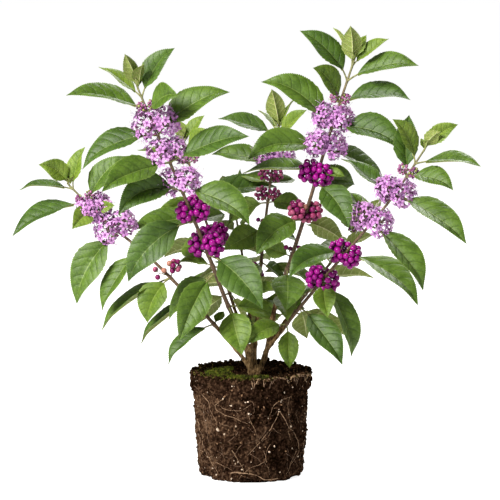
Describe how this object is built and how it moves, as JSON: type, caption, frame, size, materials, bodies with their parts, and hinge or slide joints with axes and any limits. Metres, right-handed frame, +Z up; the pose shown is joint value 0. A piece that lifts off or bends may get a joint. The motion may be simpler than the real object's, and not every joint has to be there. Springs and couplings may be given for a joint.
{
  "type": "beautyberry shrub on its bare root ball",
  "caption": "Young beautyberry shrub on a bare pot-shaped root ball: slender arching stems with paired pointed leaves, lilac blossom and violet berry clusters in the leaf axils.",
  "frame": {"origin": "middle of the flat underside of the root ball", "axes": "+Z up, the broad side of the crown faces -Y as in the picture, +X to the picture's right"},
  "size_m": [0.5007, 0.2647, 0.4914],
  "materials": {
    "compost": "dark crumbly potting compost held by fine tan roots",
    "moss": "olive green cushion moss",
    "bark": "smooth brown bark",
    "foliage": "soft green leaves, paler beneath, on tan twigs",
    "blossom": "small lilac flowers and purple-pink buds, made in the scene",
    "fruit": "glossy magenta-violet berries, made in the scene"
  },
  "bodies": {
    "root": {"back_left_limb": "bark", "back_left_lower_foliage": "foliage", "back_left_upper_foliage": "foliage", "back_middle_limb": "bark", "back_middle_lower_foliage": "foliage", "back_middle_upper_foliage": "foliage", "back_right_limb": "bark", "back_right_lower_foliage": "foliage", "back_right_upper_foliage": "foliage", "left_low_limb": "bark", "left_low_lower_foliage": "foliage", "left_low_upper_foliage": "foliage", "left_tall_limb": "bark", "left_tall_lower_foliage": "foliage", "left_tall_upper_foliage": "foliage", "middle_limb": "bark", "middle_lower_foliage": "foliage", "middle_upper_foliage": "foliage", "moss": "moss", "right_low_limb": "bark", "right_low_lower_foliage": "foliage", "right_low_upper_foliage": "foliage", "right_tall_limb": "bark", "right_tall_lower_foliage": "foliage", "right_tall_upper_foliage": "foliage", "root_ball": "compost", "trunk": "bark"}
  },
  "joints": []
}
